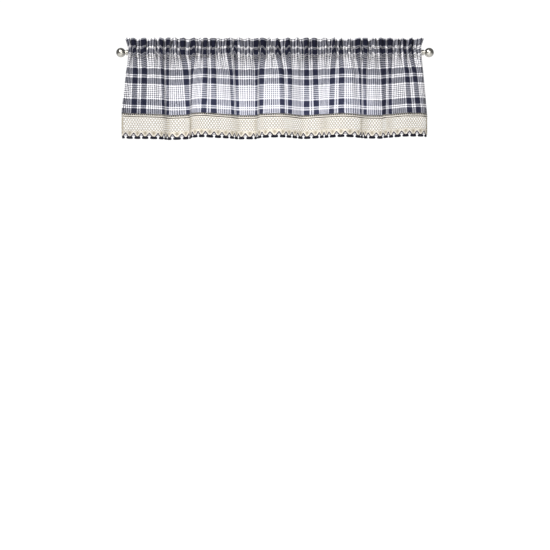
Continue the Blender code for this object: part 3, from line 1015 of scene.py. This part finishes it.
def resample(controls, step):
    """Points about step apart on a smooth line through control points, column by column."""
    controls = np.asarray(controls, float)
    travelled = distance_along(controls[:, :2])
    at = np.linspace(0, travelled[-1], int(travelled[-1] / step) + 1)
    return np.stack([smooth_curve(travelled, column, at) for column in controls.T], 1)


def both_sides(half):
    """The rows of half a scallop or bar, mirrored at the tooth's middle, in metres."""
    half = np.array(half) * (MM, MM, MM, 1)
    return np.concatenate([half * (-1, 1, 1, 1), half[::-1]])


def on_panel(line):
    return line[(line[:, 0] >= 0) & (line[:, 0] <= FLAT_WIDTH)]


def make_edging(surface):
    """A strand along the teeth, a thick bar under each tooth and thin loops in each notch."""
    scallop, bar = both_sides(HALF_SCALLOP), both_sides(HALF_BAR)
    strand, parts = [], []
    for i in range(NOTCHES + 1):
        middle = np.array([FIRST_NOTCH + (i - 0.5) * TOOTH_PITCH, 0, 0, 0])
        strand.append((scallop + middle)[1:] if i else scallop + middle)
        under = on_panel(bar + middle)
        if len(under) > 2:
            line = resample(under, YARN_STEP)
            parts.append(yarn(line, YARN_SIDES, YARN_SQUASH, BAR_PLY, PLY_LENGTH))
    line = resample(on_panel(np.concatenate(strand)), YARN_STEP)
    parts.append(yarn(line, YARN_SIDES, YARN_SQUASH, STRAND_PLY, PLY_LENGTH))
    for i in range(NOTCHES):
        notch = FIRST_NOTCH + i * TOOTH_PITCH
        for reach, ends in ARCHES:
            loop = [
                (notch + reach * u, ends + ARCH_RISE * (1 - u * u), ARCH_RADIUS, ARCH_TINT)
                for u in (-1.0, -0.5, 0.0, 0.5, 1.0)
            ]
            parts.append(yarn(resample(loop, ARCH_STEP), ARCH_SIDES, 1.0))
    return make_mesh_piece("crochet_edge", parts, surface, ["crochet_edging"])


# Dark cords along the lace heading, their colour painted shade.
# Name, height, how proud of the cloth, radius, and thickness as a share of the width.
SHADE_CORDS = [
    # a flat dark strip behind the ladder's holes: painted shade seen through them
    ("ladder_shadow_strip", -219.6 * MM, LACE_PROUD - 0.25 * MM, 2.4 * MM, 0.25),
    # a real cord along the heading, its dark colour painted shade
    ("heading_cord_painted_shade", -227.0 * MM, LACE_PROUD + 0.8 * MM, 1.5 * MM, 0.5),
]
CORD_PLY = 0.12
CORD_PLY_LENGTH = 6 * MM
CORD_SIDES = 8


def make_shade_cord(surface, name, height, proud, radius, squash):
    """A twisted cord along the lace heading, coloured dark as painted shade."""
    line = np.array([(flat, height, radius, 0) for flat in FLAT_COLUMNS])
    part = yarn(line, CORD_SIDES, squash, CORD_PLY, CORD_PLY_LENGTH, proud)
    return make_mesh_piece(name, [part], surface, [])


# ---- sewing ----
STITCH_PITCH = 3.4 * MM
STITCH_LENGTH = 2.6 * MM
STITCH_RADIUS = 0.28 * MM
STITCH_SIDES = 6
FIRST_STITCH = 2 * MM

# Along one stitch, as shares: how far along, how proud of the cloth and how thick.
STITCH = [(0, -0.5, 0.5), (0.12, 0.2, 1), (0.5, 0.5, 1), (0.88, 0.2, 1), (1, -0.5, 0.5)]


def stitch_line(place_at, sign):
    """Short lengths of thread; place_at gives the cloth's surface at a flat distance."""
    starts = np.arange(FIRST_STITCH, FLAT_WIDTH - STITCH_LENGTH, STITCH_PITCH)
    along, proud, thick = np.array(STITCH).T
    flat = starts[:, None] + along * STITCH_LENGTH
    path = place_at(flat.ravel()).reshape(len(starts), len(along), 3)
    path[..., 1] += sign * (SHEET / 2 + proud * STITCH_RADIUS)
    outward = np.broadcast_to([0.0, sign, 0.0], (len(along), 3))
    return [tube(line, outward, thick * STITCH_RADIUS, STITCH_SIDES) for line in path]


def make_stitching(surface):
    parts = stitch_line(lambda flat: header_row(flat, 0, -1)[0], -1)
    parts += stitch_line(lambda flat: body_row(flat, LOWER_STITCH)[0], -1)
    parts += stitch_line(lambda flat: header_row(flat, 0, 1)[0], 1)
    parts += stitch_line(lambda flat: on_cloth(flat, LOWER_STITCH, -STITCHED_HALF), 1)
    points, faces = joined(parts)
    return make_piece(
        "pocket_stitching", points, faces, surface, (), points[:, [0, 2]],
        np.zeros(len(points)),
    )


# ---- finials ----
FINIAL_SIDES = 64
ROD_END = 516.5 * MM
BALL_CENTRE = 542.4 * MM
BALL_RADIUS = 16.4 * MM
BALL_STEPS = 30
COLLAR_RADIUS = 10 * MM
COLLAR_LENGTH = 6.5 * MM
COLLAR_ROUND = 0.8 * MM
COLLAR_GAP = 0.3 * MM  # between the rod's end and the collar
NECK_RADIUS = 6.5 * MM
NECK_FILLET = 0.6 * MM

# The groove round the collar's middle: along the rod and into the collar.
GROOVE = np.array([(-0.8, 0), (-0.5, 0.35), (0, 0.6), (0.5, 0.35), (0.8, 0)]) * MM


def collar_edge(end, sign):
    """A quarter round, from the collar's end face to its side."""
    turn = np.linspace(0, math.pi / 2, 5)
    along = end + sign * COLLAR_ROUND * (1 - np.cos(turn))
    return list(zip(along, COLLAR_RADIUS - COLLAR_ROUND * (1 - np.sin(turn))))


def finial_profile():
    """Distance along the rod and radius, from the rod's end to the tip of the ball."""
    start = ROD_END + COLLAR_GAP
    shoulder = start + COLLAR_LENGTH
    middle = (start + shoulder) / 2
    profile = [(start, 0), *collar_edge(start, 1)]
    profile += [(middle + along, COLLAR_RADIUS - depth) for along, depth in GROOVE]
    profile += collar_edge(shoulder, -1)[::-1]
    profile += [(shoulder, NECK_RADIUS + NECK_FILLET), (shoulder + NECK_FILLET, NECK_RADIUS)]
    for turn in np.linspace(math.asin(NECK_RADIUS / BALL_RADIUS), math.pi, BALL_STEPS):
        profile.append((BALL_CENTRE - BALL_RADIUS * math.cos(turn), BALL_RADIUS * math.sin(turn)))
    return np.array(profile)


def make_finial(side, surface):
    profile = finial_profile()
    turn = np.arange(FINIAL_SIDES) * math.tau / FINIAL_SIDES
    x = np.broadcast_to(side * profile[:, :1], (len(profile), FINIAL_SIDES))
    points = np.stack([x, profile[:, 1:] * np.cos(turn), profile[:, 1:] * np.sin(turn)], -1)
    ring = np.arange(points[..., 0].size).reshape(len(profile), FINIAL_SIDES)
    vertices, faces, _ = merged(points.reshape(-1, 3), side_faces(ring))
    name = "left" if side < 0 else "right"
    return make_piece(
        f"ball_finial_{name}", vertices, faces, surface, [f"finial_{name}"]
    )


# ---- stage ----
CAMERA_DISTANCE = 4.2
CAMERA_HEIGHT = -0.783
FRAME_WIDTH = 1.936  # what the camera takes in at the rod
SENSOR_WIDTH = 36.0  # in millimetres
FLOOR_HEIGHT = -1.72
FLOOR_HALF = 6.0
FLOOR_GLOW = 0.75
WORLD_AS_LIGHT = 0.24
WORLD_TO_CAMERA = 1.05

# Name, place, aim, width and height, watts and spread in degrees.
MIDDLE = (0, 0, -0.12)
LIGHTS = [
    ("key", (-1.3, -3.0, 2.2), MIDDLE, (1.0, 1.0), 208, 180),
    ("fill", (0.6, -3.8, 0.2), MIDDLE, (1.8, 1.8), 86, 180),
    ("window", (0, 0.25, -0.45), (0, 0, -0.45), (0.76, 0.62), 5.0, 90),
]


def add_camera():
    data = bpy.data.cameras.new("camera")
    data.sensor_width = SENSOR_WIDTH
    data.lens = SENSOR_WIDTH * CAMERA_DISTANCE / FRAME_WIDTH
    camera = new_object("camera", data)
    camera.location = (0, -CAMERA_DISTANCE, CAMERA_HEIGHT)
    camera.rotation_euler = (math.pi / 2, 0, 0)
    bpy.context.scene.camera = camera


def add_light(name, place, aim, size, watts, spread):
    """A rectangle of light that the camera doesn't see."""
    data = bpy.data.lights.new(name, "AREA")
    data.shape = "RECTANGLE"
    data.size, data.size_y = size
    data.energy = watts
    data.spread = math.radians(spread)
    light = new_object(name, data)
    light.location = place
    direction = Vector(place) - Vector(aim)
    light.rotation_euler = direction.to_track_quat("Z", "Y").to_euler()
    light.visible_camera = False


def add_floor():
    mesh = bpy.data.meshes.new("floor")
    signs = [(-1, -1), (1, -1), (1, 1), (-1, 1)]
    corners = [(x * FLOOR_HALF, y * FLOOR_HALF, FLOOR_HEIGHT) for x, y in signs]
    mesh.from_pydata(corners, [], [(0, 1, 2, 3)])
    nodes = Nodes("pale_floor")
    nodes.set(Base_Color=(0.9, 0.9, 0.9, 1), Roughness=0.9)
    nodes.set(Emission_Color=(1, 1, 1, 1), Emission_Strength=FLOOR_GLOW)
    mesh.materials.append(nodes.material)
    new_object("floor", mesh)


def add_world():
    """White to the camera, softer as a light."""
    world = bpy.data.worlds.new("studio")
    world.use_nodes = True
    tree = world.node_tree
    shade = tree.nodes["Background"]
    path = tree.nodes.new("ShaderNodeLightPath")
    strength = tree.nodes.new("ShaderNodeMapRange")
    strength.inputs["To Min"].default_value = WORLD_AS_LIGHT
    strength.inputs["To Max"].default_value = WORLD_TO_CAMERA
    tree.links.new(path.outputs["Is Camera Ray"], strength.inputs["Value"])
    tree.links.new(strength.outputs[0], shade.inputs["Strength"])
    shade.inputs["Color"].default_value = (1, 1, 1, 1)
    bpy.context.scene.world = world


def add_stage():
    add_camera()
    add_floor()
    add_world()
    for light in LIGHTS:
        add_light(*light)
    bpy.context.scene.view_settings.view_transform = "Standard"


# ---- all together ----
def main():
    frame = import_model()
    nickel = satin_nickel()
    rod = frame["nodes"]["rod"]
    rod.data.materials.clear()
    rod.data.materials.append(nickel)
    cloth = make_cloth(plaid_cloth())
    cream = crochet("cream_crochet", [IVORY, CREAM, TAN], gloss=0.3, light_through=0.42)
    navy = crochet("navy_crochet", [PALE_PLUM, NAVY], gloss=0.12)
    lace = make_lace(cream)
    edge = make_edging(navy)
    # the cords' dark colour is painted shade
    taupe = crochet("dark_cord_painted_shade", [PAINTED_SHADE_TAUPE, TAUPE], gloss=0.15)
    cords = [make_shade_cord(taupe, *cord) for cord in SHADE_CORDS]
    stitching = make_stitching(cream)
    for side in (-1, 1):
        make_finial(side, nickel)
    add_stage()


main()
